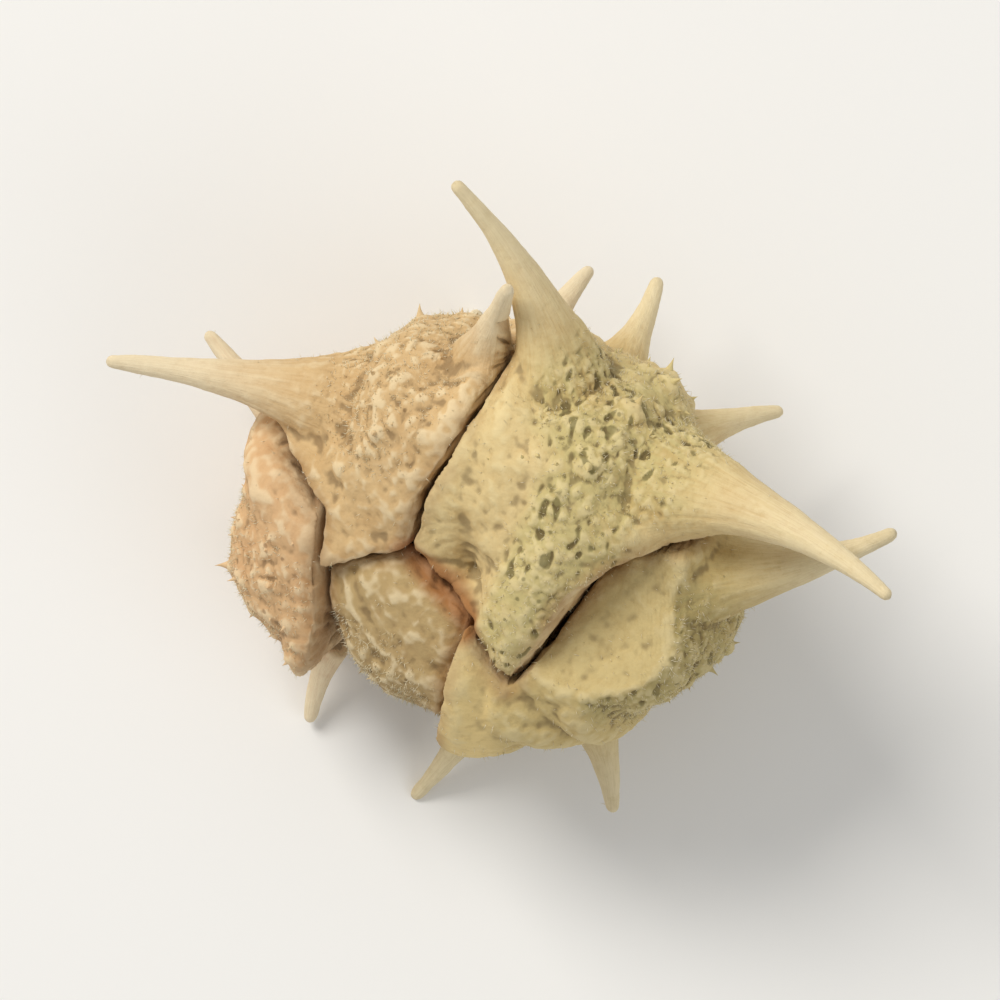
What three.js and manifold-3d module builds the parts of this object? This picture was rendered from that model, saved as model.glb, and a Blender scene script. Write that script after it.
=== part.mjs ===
// A puncturevine burr: the dry, whole fruit of Tribulus terrestris, as five woody nutlets that
// still stand together round an empty axis. Millimetres, +Z up, standing on three spine tips.
import * as THREE from 'three';
import { mergeVertices } from 'three/addons/utils/BufferGeometryUtils.js';
import Module from 'manifold-3d';

const wasm = await Module();
wasm.setup();

const degrees = THREE.MathUtils.degToRad;

// Driving dimensions. The fruit is drawn with its axis along Z, the stylar end up and the back of
// nutlet_1 towards +X. Turns are in degrees round the axis, anticlockwise from above.
const NUTLETS = 5;
const WEDGE = 360 / NUTLETS;
const SEAM_GAP = 0.16;          // clear width between two nutlets' side walls
const SEAM_REACH = 4.7;         // how far from the axis the side walls bound a nutlet
const AXIS_PIT = { turn: 163, reach: 0.52, radius: 0.22 };  // where the central column dried away
const BACK_RADIUS = 4.05;       // from the axis to the middle of a nutlet's back
const LOBE_DEPTH = 2.1;         // half of a lobe, from its own centre to its back
const LOBE_WIDTH = 2.25;        // half of a lobe, side to side, before the walls cut it
const LOBE_RISE = 2.4;          // from a lobe's centre to its top, the stylar end
const LOBE_DROP = 2.2;          // from a lobe's centre to its bottom, the stalk end
const GROWTH = [0.95, 0.94, 1.24, 0.96, 1];  // how big each lobe has grown
const SQUARENESS = 0.74;        // 1 is an oval from the side, less is squarer, like a hatchet head
const PLAN_SQUARENESS = 0.82;   // the same from above
const FLOOR_TRIM = 0.08;        // worn off the three tips that the burr stands on

// Where the seams run, seen from above, as [turn, radius] from the axis outwards. None is quite
// straight: nutlet_1 has grown over the middle and over its right neighbour's top.
const FAR = 4 * SEAM_REACH;
const SEAMS = {
  oneTwo: [[115, 1.1], [67, 1.57], [45.6, 2.28], [38, 3.2], [36, 4.2], [36, FAR]],
  twoThree: [[138, 2.77], [115, 2.8], [108, 4.1], [108, FAR]],
  threeFour: [[138, 2.77], [158, 3.05], [170, 4], [174, FAR]],
  fourFive: [[-128, 0.83], [-146, 2.2], [-151, 3.4], [-156, FAR]],
  fiveOne: [[-113, 2.13], [-79, 1.85], [-47, 2.2], [-38, 2.8], [-36, 3.6], [-36, FAR]],
};
const inwards = (seam) => [...seam].reverse();

// The room of each nutlet between its seams, as one outline, anticlockwise
const ROOMS = [
  [SEAMS.fourFive[0], ...SEAMS.fiveOne, ...inwards(SEAMS.oneTwo)],
  [...SEAMS.oneTwo, ...inwards(SEAMS.twoThree)],
  [...SEAMS.twoThree, ...inwards(SEAMS.threeFour).slice(0, -1)],
  [SEAMS.oneTwo[0], ...SEAMS.threeFour, ...inwards(SEAMS.fourFive)],
  [...SEAMS.fourFive, ...inwards(SEAMS.fiveOne)],
];

// The spines of each nutlet. turn: of the tip, from the middle of the lobe's back; reach: from the
// axis to the tip; rise: the tip's height; bow: how far its middle stands off the straight line,
// towards greater turns. root is where it starts, if that isn't in its own lobe's usual place, and
// girth makes it slimmer. They differ, because no two spines on a burr grow alike.
const LONG_SPINES = [
  [
    { turn: 42.4, reach: 7.27, rise: 1.7, bow: -0.42, girth: 0.85 },
    { turn: -40.2, reach: 8.22, rise: 2.1, bow: 0.45 },
  ],
  [
    { turn: 33.6, reach: 7.24, rise: 2.56, bow: -0.1 },
    { turn: -39.2, reach: 5.58, rise: 1.8, bow: 0.1, girth: 0.75 },
  ],
  [
    { turn: 34.6, reach: 6.2, rise: -0.25, bow: -0.35, girth: 0.8 },
    { turn: -33.4, reach: 6.63, rise: -0.64, bow: 0.3 },
  ],
  [
    { turn: -24, reach: 4.6, rise: -1.2, bow: 0, root: [-22, 1.9], girth: 0.6 },
    { turn: -40, reach: 4.7, rise: -1.1, bow: 0, root: [-38, 1.9], girth: 0.6 },
  ],
  [
    { turn: 32.9, reach: 7.31, rise: -0.15, bow: -0.35 },
    { turn: -88.3, reach: 6.37, rise: -0.7, bow: 0.1, root: [-64, 2.2], girth: 0.75 },
  ],
];
const SHORT_SPINES = [
  [{ turn: 25.7, reach: 3.35, rise: -4.1, bow: -0.1 }, { turn: -27.9, reach: 3.54, rise: -3.9, bow: 0.1 }],
  [{ turn: 27.4, reach: 3.34, rise: -4.45, bow: -0.1 }, { turn: -23.7, reach: 3.28, rise: -4.0, bow: 0.1 }],
  [{ turn: 27.4, reach: 3.34, rise: -2.2, bow: -0.1 }, { turn: -25.7, reach: 3.35, rise: -3.3, bow: 0.1 }],
  [
    { turn: -25, reach: 3.3, rise: -2.4, bow: 0, root: [-24, 1.8] },
    { turn: -37, reach: 3.2, rise: -2.3, bow: 0, root: [-36, 1.8] },
  ],
  [
    { turn: -50.5, reach: 5.58, rise: -0.6, bow: 0.1, root: [-50, 2.9, -0.5] },
    { turn: -27.4, reach: 3.34, rise: -4.6, bow: 0.1 },
  ],
];
// A spine is a slim cone whose root flares into the lobe
const LONG_ROOT = {
  turn: 16.5, reach: 2.55, rise: 0.15, sweep: -0.3,
  slim: { tall: 0.45, thick: 0.38 }, flare: { tall: 1.45, thick: 1.2 },
};
const SHORT_ROOT = {
  turn: 16.3, reach: 2.23, rise: -1.3, sweep: -0.2,
  slim: { tall: 0.3, thick: 0.28 }, flare: { tall: 0.75, thick: 0.75 },
};
const SPINE_TIP = 0.13;         // radius of the blunt end of every spine
const FLARE_POWER = 3.2;        // how soon the flare of a root dies out along the spine

// The crest down the middle of the back, and the warts on both sides of it
const CREST_HEIGHT = 0.22;
const CREST_TEETH = 7;
const CREST_SPAN = { from: -52, over: 118 };  // degrees of lift, from the lowest tooth to the highest
const TOOTH = { radius: 0.3, height: 0.28 };
const WART_ROWS = [-38, -25, -12, 12, 25, 38];  // degrees of turn to each side of the crest
const WARTS_IN_ROW = 5;
const WART_SPAN = { from: -48, over: 104 };
const WART = { radius: 0.2, height: 0.2 };
const ORNAMENTS = [1, 0.9, 1, 0.5, 0.75];  // how big each nutlet's teeth and warts are
const WART_SUNK = 0.7;          // how deep a wart's foot is in the skin, as a share of its radius
const SADDLE_DEPTH = 0.2;       // the hollows between the crest and the keels
const KEEL_HEIGHT = 0.3;        // the rounded keels beside the seams, which run into the spines

// Where nutlets shrank as they dried: nutlet_4 is smaller as a whole and stands askew in its room,
// and nutlet_5 has a smooth hollow. Where they are swollen: the crest of nutlet_1 runs on over the
// middle, and a keel of nutlet_5 runs from there into its spine. Each is an oval.
const SHRUNKEN = { nutlet: 3, turn: -35, size: [0.85, 1.12, 0.95] };
const HOLLOWS = [[], [], [], [], [{ place: [2.6, -1.8, 2.6], radii: [3.2, 2.9, 1.7], turn: -60 }]];
const SWELLINGS = [
  [{ place: [0.93, -1.0, 1.4], radii: [2.5, 1.05, 1.2], turn: 20 }],
  [],
  [],
  [],
  [{ place: [-1.3, -1.15, 1.4], radii: [1.9, 0.75, 1.3], turn: 34 }],
];

// How the burr stands: nutlet_1 faces up and back, and the seam opposite to it leans to the floor.
const FIRST_NUTLET = 180;       // where the back of nutlet_1 is before the burr is laid down
const LEAN_TOWARDS = 222;       // the direction over the floor in which the axis leans
const STANDS_ON = [
  { nutlet: 4, tip: LONG_SPINES[4][1] },
  { nutlet: 1, tip: SHORT_SPINES[1][0] },
  { nutlet: 4, tip: SHORT_SPINES[4][1] },
];

// One generator for every random draw, so that each build is the same
let seed = 20;
const random = () => {
  seed = (seed * 16807) % 2147483647;
  return seed / 2147483647;
};
const jitter = (amount) => (random() * 2 - 1) * amount;
const bump = (x, width) => Math.exp(-((x / width) ** 2));

const UP = new THREE.Vector3(0, 0, 1);
const lobeCentre = BACK_RADIUS - LOBE_DEPTH;
const squared = (value, power) => Math.sign(value) * Math.abs(value) ** power;
const polar = (turn, reach, rise = 0) => (
  new THREE.Vector3(reach, 0, rise).applyAxisAngle(UP, degrees(turn))
);

// A point on the lobe's skin: turn runs round the lobe from its back, lift from its bottom to its top
const lobePoint = (turn, lift) => {
  const crest = CREST_HEIGHT * bump(turn, degrees(13)) * Math.cos(lift);
  const saddle = SADDLE_DEPTH * bump(Math.abs(turn) - degrees(33), degrees(13));
  const keel = KEEL_HEIGHT * bump(Math.abs(turn) - degrees(57), degrees(11));
  const swell = crest + (keel - saddle) * Math.cos(lift) ** 0.5;
  const level = Math.max(Math.cos(lift), 0) ** SQUARENESS;
  const height = squared(Math.sin(lift), SQUARENESS);
  const taper = lift < 0 ? 1 - 0.1 * Math.sin(lift) ** 2 : 1;
  return new THREE.Vector3(
    lobeCentre + (LOBE_DEPTH * taper + swell) * level * squared(Math.cos(turn), PLAN_SQUARENESS),
    (LOBE_WIDTH * taper + swell) * level * squared(Math.sin(turn), PLAN_SQUARENESS),
    (lift > 0 ? LOBE_RISE : LOBE_DROP) * height,
  );
};

const lobeNormal = (turn, lift) => {
  const step = degrees(1);
  const across = lobePoint(turn + step, lift).sub(lobePoint(turn - step, lift));
  const up = lobePoint(turn, lift + step).sub(lobePoint(turn, lift - step));
  return across.cross(up).normalize();
};

// Mesh and solid, there and back
const solidOf = (geometry) => {
  geometry.deleteAttribute('normal');
  geometry.deleteAttribute('uv');
  const merged = mergeVertices(geometry, 1e-5);
  return new wasm.Manifold(new wasm.Mesh({
    numProp: 3,
    vertProperties: new Float32Array(merged.attributes.position.array),
    triVerts: new Uint32Array(merged.index.array),
  }));
};

const geometryOf = (solid) => {
  const mesh = solid.getMesh();
  const geometry = new THREE.BufferGeometry();
  geometry.setAttribute('position', new THREE.BufferAttribute(mesh.vertProperties, 3));
  geometry.setIndex(new THREE.BufferAttribute(mesh.triVerts, 1));
  geometry.computeVertexNormals();
  return geometry;
};

const lobeSolid = () => {
  const geometry = new THREE.SphereGeometry(1, 32, 18);
  const position = geometry.attributes.position;
  for (let i = 0; i < position.count; i += 1) {
    const point = new THREE.Vector3().fromBufferAttribute(position, i);
    const round = Math.atan2(point.z, point.x);
    const lift = Math.asin(THREE.MathUtils.clamp(point.y, -1, 1));
    const turn = round - 0.42 * Math.sin(round);   // finer on the back than on the inner edge
    const place = lobePoint(-turn, lift);
    position.setXYZ(i, place.x, place.y, place.z);
  }
  return solidOf(geometry);
};

// A spine is a loft of oval rings along a curve, from deep in the lobe to its blunt tip
const spineSolid = (index, spine, usual, { sides, rings }) => {
  const [turn, reach, rise = usual.rise] = spine.root ?? [Math.sign(spine.turn) * usual.turn, usual.reach];
  const start = polar(index * WEDGE + turn, reach, rise);
  const end = polar(index * WEDGE + spine.turn, spine.reach, spine.rise);
  const sideways = UP.clone().cross(end.clone().sub(start)).normalize();
  const middle = start.clone().lerp(end, 0.5).addScaledVector(sideways, 2 * spine.bow);
  middle.z += usual.sweep;
  const girth = spine.girth ?? 1;
  const path = new THREE.QuadraticBezierCurve3(start, middle, end);
  const vertices = [];
  for (let ring = 0; ring <= rings; ring += 1) {
    const along = ring / rings;
    const slim = 1 - along;
    const flare = slim ** FLARE_POWER;
    const tall = SPINE_TIP + girth * (usual.slim.tall * slim + usual.flare.tall * flare);
    const thick = SPINE_TIP + girth * (usual.slim.thick * slim + usual.flare.thick * flare);
    const centre = path.getPointAt(along);
    const forward = path.getTangentAt(along);
    const across = UP.clone().cross(forward).normalize();
    const upward = forward.clone().cross(across);
    for (let corner = 0; corner < sides; corner += 1) {
      const angle = (corner / sides) * Math.PI * 2;
      vertices.push(centre.clone()
        .addScaledVector(across, thick * Math.cos(angle))
        .addScaledVector(upward, tall * Math.sin(angle)));
    }
  }
  vertices.push(start, end.clone().addScaledVector(path.getTangentAt(1), SPINE_TIP));
  const inner = vertices.length - 2;
  const outer = vertices.length - 1;
  const triangles = [];
  for (let corner = 0; corner < sides; corner += 1) {
    const next = (corner + 1) % sides;
    for (let ring = 0; ring < rings; ring += 1) {
      const [a, b] = [ring * sides + corner, ring * sides + next];
      triangles.push(a, b, b + sides, a, b + sides, a + sides);
    }
    triangles.push(inner, next, corner);
    triangles.push(outer, rings * sides + corner, rings * sides + next);
  }
  const geometry = new THREE.BufferGeometry().setFromPoints(vertices);
  geometry.setIndex(triangles);
  return solidOf(geometry);
};

const ovalSolid = ({ place, radii, turn }) => {
  const geometry = new THREE.SphereGeometry(1, 24, 14);
  geometry.scale(...radii);
  geometry.rotateZ(degrees(turn));
  geometry.translate(...place);
  return solidOf(geometry);
};

// Whether a point lies in one of the ovals
const isInside = (ovals, point) => ovals.some(({ place, radii, turn }) => (
  point.clone().sub(new THREE.Vector3(...place)).applyAxisAngle(UP, degrees(-turn))
    .divide(new THREE.Vector3(...radii)).length() < 1
));

// A small pointed wart, sunk into the skin and leaning a little off its normal
const wartSolid = (place, turn, lift, { radius, height }, sides) => {
  const out = lobeNormal(turn, lift);
  out.add(new THREE.Vector3(jitter(0.15), jitter(0.15), jitter(0.2))).normalize();
  const sunk = radius * WART_SUNK;
  const geometry = new THREE.ConeGeometry(radius * (1 + sunk / height), height + sunk, sides);
  geometry.rotateY(random() * Math.PI);
  geometry.translate(0, (height - sunk) / 2, 0);
  geometry.applyQuaternion(new THREE.Quaternion().setFromUnitVectors(new THREE.Vector3(0, 1, 0), out));
  geometry.translate(place.x, place.y, place.z);
  return solidOf(geometry);
};

// Where a nutlet's own lobe stands, and how big it is
const lobeOf = (index) => {
  if (index === SHRUNKEN.nutlet) return { turn: index * WEDGE + SHRUNKEN.turn, size: SHRUNKEN.size };
  return { turn: index * WEDGE, size: [GROWTH[index], GROWTH[index], 1] };
};

const backOrnaments = (index) => {
  const solids = [];
  const { turn: stands, size: growth } = lobeOf(index);
  const plant = (turn, lift, size, sides) => {
    const place = lobePoint(turn, lift).multiply(new THREE.Vector3(...growth));
    const wart = wartSolid(place, turn, lift, size, sides).rotate([0, 0, stands]);
    place.applyAxisAngle(UP, degrees(stands));
    if (!isInside(HOLLOWS[index], place)) solids.push(wart);
  };
  for (let tooth = 0; tooth < CREST_TEETH; tooth += 1) {
    const share = tooth / (CREST_TEETH - 1);
    const lift = degrees(CREST_SPAN.from + CREST_SPAN.over * share) + jitter(0.05);
    const scale = ORNAMENTS[index] * (0.8 + 0.4 * random());
    const size = { radius: TOOTH.radius * scale, height: TOOTH.height * scale };
    plant(jitter(0.06), lift, size, 5);
  }
  for (const row of WART_ROWS) {
    for (let wart = 0; wart < WARTS_IN_ROW; wart += 1) {
      const share = (wart + 0.5 * random()) / (WARTS_IN_ROW - 1);
      const lift = degrees(WART_SPAN.from + WART_SPAN.over * share);
      const scale = ORNAMENTS[index] * (0.7 + 0.5 * random());
      const size = { radius: WART.radius * scale, height: WART.height * scale };
      plant(degrees(row) + jitter(0.09), lift, size, 4);
    }
  }
  return solids;
};

// An outline with every side moved inwards by half of the gap
const inset = (corners) => corners.map((corner, i) => {
  const before = corners.at(i - 1);
  const after = corners[(i + 1) % corners.length];
  const [first, second] = [[before, corner], [corner, after]].map(([a, b]) => (
    UP.clone().cross(b.clone().sub(a)).normalize()
  ));
  return first.add(second).multiplyScalar(SEAM_GAP / 2 / (1 + first.dot(second))).add(corner);
});

// A nutlet's own room, as a column of the height of the whole fruit
const COLUMN = 4 * SEAM_REACH;
const roomSolid = (index) => {
  const outline = inset(ROOMS[index].map(([turn, reach]) => polar(turn, reach)));
  const shape = new THREE.Shape(outline.map(({ x, y }) => new THREE.Vector2(x, y)));
  const geometry = new THREE.ExtrudeGeometry(shape, { depth: COLUMN, bevelEnabled: false });
  geometry.translate(0, 0, -COLUMN / 2);
  return solidOf(geometry);
};

const roundColumn = (radius, sides, { x, y }) => {
  const geometry = new THREE.CylinderGeometry(radius, radius, COLUMN - 1, sides);
  geometry.rotateX(Math.PI / 2);
  geometry.translate(x, y, 0);
  return solidOf(geometry);
};
const withinSeams = roundColumn(SEAM_REACH, 48, polar(0, 0));
const pit = roundColumn(AXIS_PIT.radius, 8, polar(AXIS_PIT.turn, AXIS_PIT.reach));
const union = (solids) => solids.reduce((whole, solid) => whole.add(solid));

// The flesh of the whole fruit is five lobes grown into each other
const flesh = union(GROWTH.map((growth, index) => (
  lobeSolid().scale([growth, growth, 1]).rotate([0, 0, index * WEDGE])
)));

const nutletSolid = (index) => {
  const room = roomSolid(index);
  const { turn, size } = lobeOf(index);
  const lobe = index === SHRUNKEN.nutlet ? lobeSolid().scale(size).rotate([0, 0, turn]) : flesh;
  const body = union([lobe, ...SWELLINGS[index].map(ovalSolid)]).intersect(room);
  const outgrowths = union([
    ...LONG_SPINES[index].map((spine) => spineSolid(index, spine, LONG_ROOT, { sides: 10, rings: 11 })),
    ...SHORT_SPINES[index].map((spine) => spineSolid(index, spine, SHORT_ROOT, { sides: 8, rings: 6 })),
    ...backOrnaments(index),
  ]);
  const whole = body.add(outgrowths.subtract(withinSeams.subtract(room)));
  return whole.subtract(union([pit, ...HOLLOWS[index].map(ovalSolid)]));
};

const tipOf = ({ nutlet, tip }) => polar(FIRST_NUTLET + nutlet * WEDGE + tip.turn, tip.reach, tip.rise);

// The turn that lays three spine tips flat on the floor and leans the axis the right way
const standing = () => {
  const [a, b, c] = STANDS_ON.map(tipOf);
  const down = b.clone().sub(a).cross(c.clone().sub(a)).normalize();
  if (down.dot(a) < 0) down.negate();
  const level = new THREE.Quaternion().setFromUnitVectors(down, UP.clone().negate());
  const axis = UP.clone().applyQuaternion(level);
  const swing = degrees(LEAN_TOWARDS) - Math.atan2(axis.y, axis.x);
  return new THREE.Quaternion().setFromAxisAngle(UP, swing).multiply(level);
};

const boundsOf = (geometries) => {
  const box = new THREE.Box3();
  for (const geometry of geometries) {
    geometry.computeBoundingBox();
    box.union(geometry.boundingBox);
  }
  return box;
};

const pose = new THREE.Matrix4().makeRotationFromQuaternion(standing())
  .multiply(new THREE.Matrix4().makeRotationZ(degrees(FIRST_NUTLET)));
const solids = [];
for (let index = 0; index < NUTLETS; index += 1) {
  solids.push(nutletSolid(index).transform(pose.elements));
}
const floor = boundsOf(solids.map(geometryOf)).min.z + FLOOR_TRIM;
const underfloor = new THREE.BoxGeometry(40, 40, 10);
underfloor.translate(0, 0, floor - 5);
const worn = solids.map((solid) => geometryOf(solid.subtract(solidOf(underfloor))));
const box = boundsOf(worn);

const wood = [0xc6bb83, 0xcfae7c, 0xcda678, 0xbfab7e, 0xc2b481];

const burr = new THREE.Group();
worn.forEach((geometry, index) => {
  const material = new THREE.MeshStandardMaterial({ color: wood[index], roughness: 0.85, metalness: 0 });
  const nutlet = new THREE.Mesh(geometry, material);
  nutlet.name = `nutlet_${index + 1}`;
  nutlet.position.set(-(box.min.x + box.max.x) / 2, -(box.min.y + box.max.y) / 2, -box.min.z);
  burr.add(nutlet);
});

export default burr;
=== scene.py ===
# %% [markdown]
# # A puncturevine burr
#
# This lesson finishes the dry fruit of puncturevine. It is a burr of five woody nutlets that stand
# together round an empty axis, and each nutlet has two long spines, two short ones and a warty back.
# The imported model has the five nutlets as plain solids. Here each one is modelled again, finer but
# in the same place, and gets its wrinkles, thorns, hairs and colours.

# %% Load the frame
import math
import random

import bpy
import numpy as np
from mathutils import Matrix, Quaternion, Vector, noise
from mathutils.kdtree import KDTree


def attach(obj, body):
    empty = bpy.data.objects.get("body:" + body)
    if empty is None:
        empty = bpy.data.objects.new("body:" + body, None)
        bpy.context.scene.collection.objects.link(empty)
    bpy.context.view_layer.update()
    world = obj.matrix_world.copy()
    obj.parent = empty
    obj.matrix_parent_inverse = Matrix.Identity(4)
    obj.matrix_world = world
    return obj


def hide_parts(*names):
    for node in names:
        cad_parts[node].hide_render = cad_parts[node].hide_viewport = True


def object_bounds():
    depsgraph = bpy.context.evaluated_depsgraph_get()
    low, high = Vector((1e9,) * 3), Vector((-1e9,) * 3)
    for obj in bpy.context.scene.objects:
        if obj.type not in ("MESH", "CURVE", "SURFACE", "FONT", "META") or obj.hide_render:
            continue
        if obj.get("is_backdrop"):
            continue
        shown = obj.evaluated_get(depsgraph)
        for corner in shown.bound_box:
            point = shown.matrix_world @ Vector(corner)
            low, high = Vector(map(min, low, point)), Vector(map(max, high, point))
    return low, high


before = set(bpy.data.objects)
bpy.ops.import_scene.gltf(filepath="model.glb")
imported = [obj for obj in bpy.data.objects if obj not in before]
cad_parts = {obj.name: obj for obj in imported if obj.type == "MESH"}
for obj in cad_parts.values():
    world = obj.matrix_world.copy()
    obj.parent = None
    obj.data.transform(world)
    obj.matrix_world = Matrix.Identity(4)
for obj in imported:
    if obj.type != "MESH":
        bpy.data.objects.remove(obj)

cad_low, cad_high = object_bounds()
print("CAD box in mm:", [round(1000 * (high - low), 2) for low, high in zip(cad_low, cad_high)])

# %% [markdown]
# ## The sizes
#
# The fruit is drawn with its axis along Z, the stylar end up and the back of nutlet_1 towards +X, so
# a place on it is a turn round the axis, a reach from it and a rise. The numbers are millimetres and
# degrees, and while it is being modelled one Blender unit is one millimetre too: the voxel remesh
# later on cannot go finer than a tenth of a thousandth of a unit, which would be far too coarse for
# a thing of this size in metres. The finished mesh is scaled down at the end.

# %% The sizes of the fruit, in millimetres and degrees
MM = 0.001
NUTLETS = 5
WEDGE = 360 / NUTLETS
SEAM_GAP = 0.02
SEAM_REACH = 4.7
AXIS_PIT = {"turn": 163, "reach": 0.52, "radii": (0.2, 0.07), "slant": 118}
BACK_RADIUS = 4.05
LOBE_DEPTH = 2.1
LOBE_WIDTH = 2.25
LOBE_RISE = 2.4
LOBE_DROP = 2.2
GROWTH = [0.95, 0.94, 1.24, 0.96, 1]
SQUARENESS = 0.74
PLAN_SQUARENESS = 0.82
LOBE_CENTRE = BACK_RADIUS - LOBE_DEPTH
TAPER = 0.1
CREST = {"height": 0.22, "turn": 0, "spread": 13}
SADDLE = {"height": 0.2, "turn": 33, "spread": 13}
KEEL = {"height": 0.3, "turn": 57, "spread": 11}


def polar(turn, reach, rise=0):
    """A point from its turn round the axis, its reach from it and its rise."""
    return np.array([reach * math.cos(math.radians(turn)), reach * math.sin(math.radians(turn)), rise])


def turned(places, turn):
    """Places turned about the axis."""
    return places @ np.array(Matrix.Rotation(math.radians(turn), 3, "Z")).T


def reach_of(places):
    """How far places are from the axis."""
    return np.hypot(places[:, 0], places[:, 1])


# %% [markdown]
# ## The seams
#
# Each nutlet keeps to its own room between two seams. On a textbook burr the seams are five straight
# spokes. On this one nutlet_1 has grown over the middle and over its right neighbour's top, so each
# seam is a bent line seen from above, from the middle outwards. Two seams in a row make the outline
# of a room, whose sides are then moved inwards by half of the gap between the nutlets. Outside the
# lobes the fourth seam turns aside, so that the lower long spine of nutlet_5 stays whole.

# %% Draw the seams and the rooms
FAR = 4 * SEAM_REACH
ONE_TWO = [(115, 1.1), (67, 1.57), (45.6, 2.28), (38, 3.2), (36, 4.2), (36, FAR)]
TWO_THREE = [(138, 2.77), (115, 2.8), (108, 4.1), (108, FAR)]
THREE_FOUR = [(138, 2.77), (158, 3.05), (170, 4), (174, FAR)]
FOUR_FIVE = [(-128, 0.83), (-146, 2.2), (-151, 3.4), (-155, 4.15), (-161, 4.35), (-161, FAR)]
FIVE_ONE = [(-113, 2.13), (-79, 1.85), (-47, 2.2), (-38, 2.8), (-36, 3.6), (-36, FAR)]
ROOMS = [
    FOUR_FIVE[:1] + FIVE_ONE + ONE_TWO[::-1],
    ONE_TWO + TWO_THREE[::-1],
    TWO_THREE + THREE_FOUR[:0:-1],
    ONE_TWO[:1] + THREE_FOUR + FOUR_FIVE[::-1],
    FOUR_FIVE + FIVE_ONE[::-1],
]


def outline_of(index):
    """The corners of a nutlet's room, seen from above and anticlockwise."""
    corners = np.array([polar(*corner)[:2] for corner in ROOMS[index]])
    sides = np.roll(corners, -1, axis=0) - corners
    inward = np.stack([-sides[:, 1], sides[:, 0]], axis=1)
    inward /= np.linalg.norm(inward, axis=1, keepdims=True)
    before = np.roll(inward, 1, axis=0)
    return corners + (before + inward) * SEAM_GAP / 2 / (1 + (before * inward).sum(axis=1, keepdims=True))


def seam_of(index, places):
    """The depth of each place inside its room, the nearest point of the seams, and the way out."""
    corners = outline_of(index)
    flat = places[:, :2]
    nearest = np.zeros_like(flat)
    gap = np.full(len(flat), FAR)
    inside = np.zeros(len(flat), dtype=bool)
    for start, end in zip(corners, np.roll(corners, -1, axis=0)):
        side = end - start
        point = start + np.clip((flat - start) @ side / (side @ side), 0, 1)[:, None] * side
        distance = np.linalg.norm(flat - point, axis=1)
        closer = distance < gap
        nearest[closer] = point[closer]
        gap[closer] = distance[closer]
        passed = (start[1] > flat[:, 1]) != (end[1] > flat[:, 1])
        inside ^= passed & (flat[:, 0] < start[0] + (flat[:, 1] - start[1]) / (side[1] or 1) * side[0])
    sign = np.where(inside, 1, -1)
    outward = (nearest - flat) * (sign / np.maximum(gap, 1e-6))[:, None]
    return gap * sign, nearest, outward


# %% [markdown]
# ## The spines
#
# Every spine is given by where its tip is: the turn from the middle of its lobe's back, the reach and
# the rise. The bow is how far its middle stands off the straight line, towards greater turns. A root
# is given where it isn't in its lobe's usual place, and a girth makes a spine slimmer. All of them
# differ, because no two spines on a burr grow alike.

# %% Where the spines end
LONG_SPINES = [
    [dict(turn=42.4, reach=7.27, rise=1.7, bow=-0.42, girth=0.85),
     dict(turn=-40.2, reach=8.22, rise=2.1, bow=0.45)],
    [dict(turn=33.6, reach=7.24, rise=2.56, bow=-0.1),
     dict(turn=-39.2, reach=5.58, rise=1.8, bow=0.1, girth=0.75)],
    [dict(turn=34.6, reach=6.2, rise=-0.25, bow=-0.35, girth=0.8),
     dict(turn=-33.4, reach=6.63, rise=-0.64, bow=0.3)],
    [dict(turn=-24, reach=4.6, rise=-1.2, bow=0, root=(-22, 1.9), girth=0.6),
     dict(turn=-40, reach=4.7, rise=-1.1, bow=0, root=(-38, 1.9), girth=0.6)],
    [dict(turn=32.9, reach=7.31, rise=-0.15, bow=-0.35),
     dict(turn=-88.3, reach=6.37, rise=-0.7, bow=0.1, root=(-64, 2.2), girth=0.75)],
]
SHORT_SPINES = [
    [dict(turn=25.7, reach=3.35, rise=-4.1, bow=-0.1), dict(turn=-27.9, reach=3.54, rise=-3.9, bow=0.1)],
    [dict(turn=27.4, reach=3.34, rise=-4.45, bow=-0.1), dict(turn=-23.7, reach=3.28, rise=-4.0, bow=0.1)],
    [dict(turn=27.4, reach=3.34, rise=-2.2, bow=-0.1), dict(turn=-25.7, reach=3.35, rise=-3.3, bow=0.1)],
    [dict(turn=-25, reach=3.3, rise=-2.4, bow=0, root=(-24, 1.8)),
     dict(turn=-37, reach=3.2, rise=-2.3, bow=0, root=(-36, 1.8))],
    [dict(turn=-50.5, reach=5.58, rise=-0.6, bow=0.1, root=(-50, 2.9, -0.5)),
     dict(turn=-27.4, reach=3.34, rise=-4.6, bow=0.1)],
]
LONG_ROOT = {"turn": 16.5, "reach": 2.55, "rise": 0.15, "sweep": -0.3,
             "slim": (0.45, 0.38), "flare": (1.45, 1.2)}
SHORT_ROOT = {"turn": 16.3, "reach": 2.23, "rise": -1.3, "sweep": -0.2,
              "slim": (0.3, 0.28), "flare": (0.75, 0.75)}
SPINE_TIP = 0.13
FLARE_POWER = 3.2

# %% [markdown]
# ## How the burr stands
#
# A burr cannot stand on its round body: it comes to rest on three spine tips. The plane through
# those three tips is the floor, so the turn that lays them flat is worked out from the tips
# themselves, the way one would level a three-legged stool by its feet. A second turn about the
# upright swings the leaning axis to the lower left, as in the photograph.

# %% Level the burr on three tips
FIRST_NUTLET = 180
LEAN_TOWARDS = 222
STANDS_ON = [(4, LONG_SPINES[4][1]), (1, SHORT_SPINES[1][0]), (4, SHORT_SPINES[4][1])]


def tip_of(index, spine):
    return Vector(polar(FIRST_NUTLET + index * WEDGE + spine["turn"], spine["reach"], spine["rise"]))


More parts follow.
